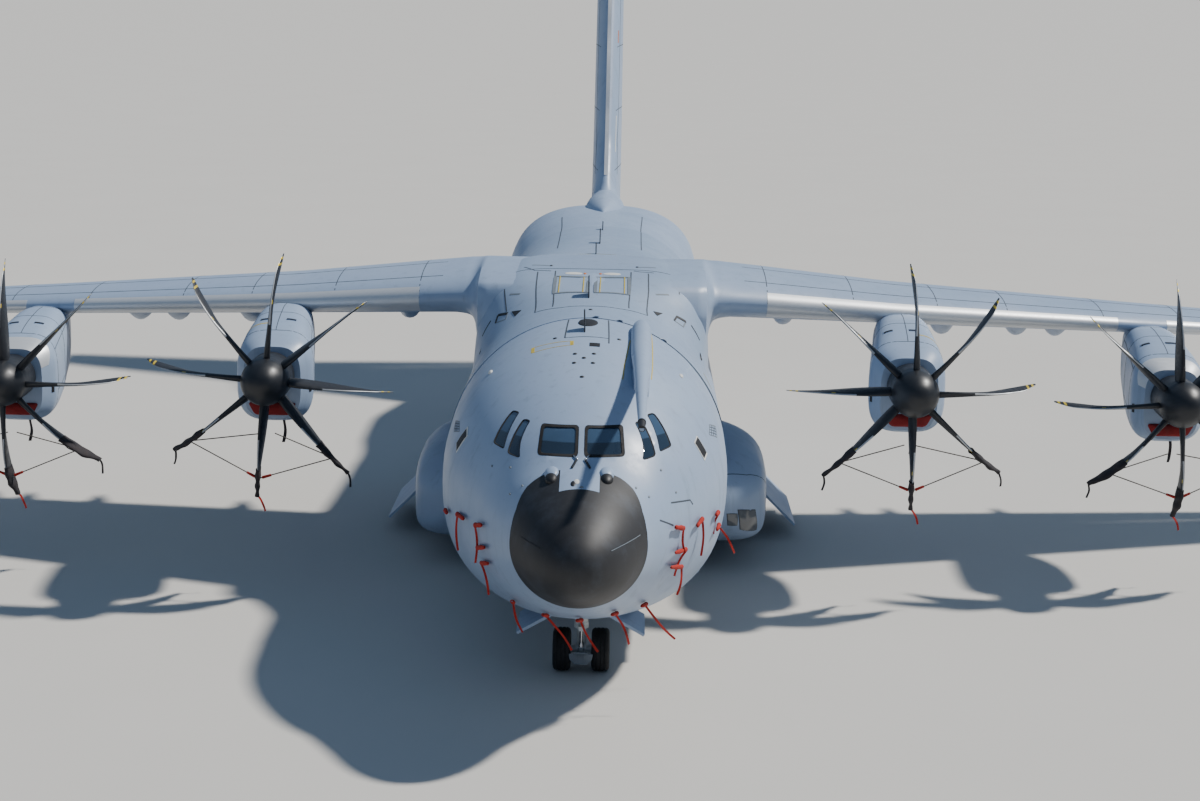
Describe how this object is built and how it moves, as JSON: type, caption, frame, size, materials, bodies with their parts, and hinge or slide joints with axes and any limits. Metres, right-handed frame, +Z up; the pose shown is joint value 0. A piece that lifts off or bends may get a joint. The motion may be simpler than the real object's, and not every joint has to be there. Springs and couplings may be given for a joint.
{
  "type": "four-propeller military transport plane, 1:2 scale model",
  "caption": "High-wing transport plane on its wheels: hollow hold with tail ramp, scimitar-bladed turboprops, T-tail, steered nose gear, control surfaces and a crew door.",
  "frame": {"origin": "on the ground below the middle of the bounding box, with all wheels on the ground", "axes": "+X to the plane's port side, -Y towards the nose, +Z up"},
  "size_m": [21.2, 22.55, 7.383],
  "materials": {
    "paint": "satin blue-grey paint",
    "fairing": "satin blue-grey paint",
    "radome": "matt dark grey",
    "blade": "matt near-black composite",
    "glass": "tinted glass",
    "engine_metal": "dull metal",
    "gear": "gloss light grey paint",
    "tyre": "black rubber",
    "floor": "matt grey paint"
  },
  "bodies": {
    "airframe": {"nose_fuselage": "paint", "centre_fuselage": "paint", "rear_fuselage": "paint", "fin": "paint", "tailplane": "paint", "refuelling_probe": "paint", "wing_port": "paint", "wing_starboard": "paint", "sponson_port": "paint", "sponson_starboard": "paint", "nose_gear_door_port": "paint", "nose_gear_door_starboard": "paint", "main_gear_door_port": "paint", "main_gear_door_starboard": "paint", "nacelle_outer_port": "paint", "nacelle_inner_port": "paint", "nacelle_inner_starboard": "paint", "nacelle_outer_starboard": "paint", "wing_fairing": "fairing", "radome": "radome", "windscreen_port": "glass", "windscreen_starboard": "glass", "side_window_front_port": "glass", "side_window_front_starboard": "glass", "side_window_rear_port": "glass", "side_window_rear_starboard": "glass", "engine_outer_port": "engine_metal", "engine_inner_port": "engine_metal", "engine_inner_starboard": "engine_metal", "engine_outer_starboard": "engine_metal", "nose_gear_strut": "gear", "main_gear_legs_port": "gear", "main_gear_legs_starboard": "gear", "cargo_floor": "floor", "cockpit_deck": "floor"},
    "propeller_outer_port_body": {"propeller_outer_port": "blade"},
    "propeller_inner_port_body": {"propeller_inner_port": "blade"},
    "propeller_inner_starboard_body": {"propeller_inner_starboard": "blade"},
    "propeller_outer_starboard_body": {"propeller_outer_starboard": "blade"},
    "nose_gear_steering": {"nose_gear_fork": "gear"},
    "nose_wheels_body": {"nose_wheels": "tyre"},
    "main_wheels_front_port_body": {"main_wheels_front_port": "tyre"},
    "main_wheels_front_starboard_body": {"main_wheels_front_starboard": "tyre"},
    "main_wheels_middle_port_body": {"main_wheels_middle_port": "tyre"},
    "main_wheels_middle_starboard_body": {"main_wheels_middle_starboard": "tyre"},
    "main_wheels_rear_port_body": {"main_wheels_rear_port": "tyre"},
    "main_wheels_rear_starboard_body": {"main_wheels_rear_starboard": "tyre"},
    "rudder_body": {"rudder": "paint"},
    "elevator_port_body": {"elevator_port": "paint"},
    "elevator_starboard_body": {"elevator_starboard": "paint"},
    "aileron_port_body": {"aileron_port": "paint"},
    "aileron_starboard_body": {"aileron_starboard": "paint"},
    "crew_door_body": {"crew_door": "paint"},
    "cargo_ramp_body": {"cargo_ramp": "paint"},
    "tail_door_body": {"tail_door": "paint"}
  },
  "joints": [
    {"name": "propeller_outer_port_spin", "type": "hinge", "parent": "airframe", "child": "propeller_outer_port_body", "pos_m": [6.49, -5.025, 2.135], "axis": [0, 1, 0], "continuous": true},
    {"name": "propeller_inner_port_spin", "type": "hinge", "parent": "airframe", "child": "propeller_inner_port_body", "pos_m": [3.44, -5.925, 2.365], "axis": [0, 1, 0], "continuous": true},
    {"name": "propeller_inner_starboard_spin", "type": "hinge", "parent": "airframe", "child": "propeller_inner_starboard_body", "pos_m": [-3.44, -5.925, 2.365], "axis": [0, 1, 0], "continuous": true},
    {"name": "propeller_outer_starboard_spin", "type": "hinge", "parent": "airframe", "child": "propeller_outer_starboard_body", "pos_m": [-6.49, -5.025, 2.135], "axis": [0, 1, 0], "continuous": true},
    {"name": "nose_gear_steer", "type": "hinge", "parent": "airframe", "child": "nose_gear_steering", "pos_m": [0, -8.55, 0.4], "axis": [0, 0, 1], "range_deg": [-60, 60]},
    {"name": "nose_wheels_roll", "type": "hinge", "parent": "nose_gear_steering", "child": "nose_wheels_body", "pos_m": [0, -8.55, 0.21], "axis": [1, 0, 0], "continuous": true},
    {"name": "main_wheels_front_port_roll", "type": "hinge", "parent": "airframe", "child": "main_wheels_front_port_body", "pos_m": [1.55, -2.575, 0.2725], "axis": [1, 0, 0], "continuous": true},
    {"name": "main_wheels_front_starboard_roll", "type": "hinge", "parent": "airframe", "child": "main_wheels_front_starboard_body", "pos_m": [-1.55, -2.575, 0.2725], "axis": [1, 0, 0], "continuous": true},
    {"name": "main_wheels_middle_port_roll", "type": "hinge", "parent": "airframe", "child": "main_wheels_middle_port_body", "pos_m": [1.55, -1.775, 0.2725], "axis": [1, 0, 0], "continuous": true},
    {"name": "main_wheels_middle_starboard_roll", "type": "hinge", "parent": "airframe", "child": "main_wheels_middle_starboard_body", "pos_m": [-1.55, -1.775, 0.2725], "axis": [1, 0, 0], "continuous": true},
    {"name": "main_wheels_rear_port_roll", "type": "hinge", "parent": "airframe", "child": "main_wheels_rear_port_body", "pos_m": [1.55, -0.975, 0.2725], "axis": [1, 0, 0], "continuous": true},
    {"name": "main_wheels_rear_starboard_roll", "type": "hinge", "parent": "airframe", "child": "main_wheels_rear_starboard_body", "pos_m": [-1.55, -0.975, 0.2725], "axis": [1, 0, 0], "continuous": true},
    {"name": "rudder_turn", "type": "hinge", "parent": "airframe", "child": "rudder_body", "pos_m": [0, 8.2795, 3.575], "axis": [0, 0.4439, 0.8961], "range_deg": [-25, 25]},
    {"name": "elevator_port_turn", "type": "hinge", "parent": "airframe", "child": "elevator_port_body", "pos_m": [0.4, 10.231, 7.093], "axis": [0.9778, 0.2097, -0.002], "range_deg": [-15, 25]},
    {"name": "elevator_starboard_turn", "type": "hinge", "parent": "airframe", "child": "elevator_starboard_body", "pos_m": [-0.4, 10.231, 7.093], "axis": [0.9778, -0.2097, 0.002], "range_deg": [-15, 25]},
    {"name": "aileron_port_turn", "type": "hinge", "parent": "airframe", "child": "aileron_port_body", "pos_m": [7.95, -1.3031, 2.54234], "axis": [0.987, 0.1451, -0.0686], "range_deg": [-20, 20]},
    {"name": "aileron_starboard_turn", "type": "hinge", "parent": "airframe", "child": "aileron_starboard_body", "pos_m": [-7.95, -1.3031, 2.54234], "axis": [0.987, -0.1451, 0.0686], "range_deg": [-20, 20]},
    {"name": "crew_door_turn", "type": "hinge", "parent": "airframe", "child": "crew_door_body", "pos_m": [1.1225, -7.825, 0.8825], "axis": [0, 1, 0], "range_deg": [0, 110]},
    {"name": "cargo_ramp_turn", "type": "hinge", "parent": "airframe", "child": "cargo_ramp_body", "pos_m": [0, 2.46, 0.54], "axis": [-1, 0, 0], "range_deg": [0, 28]},
    {"name": "tail_door_turn", "type": "hinge", "parent": "airframe", "child": "tail_door_body", "pos_m": [0, 7.3, 2.425], "axis": [-1, 0, 0], "range_deg": [0, 22]}
  ]
}
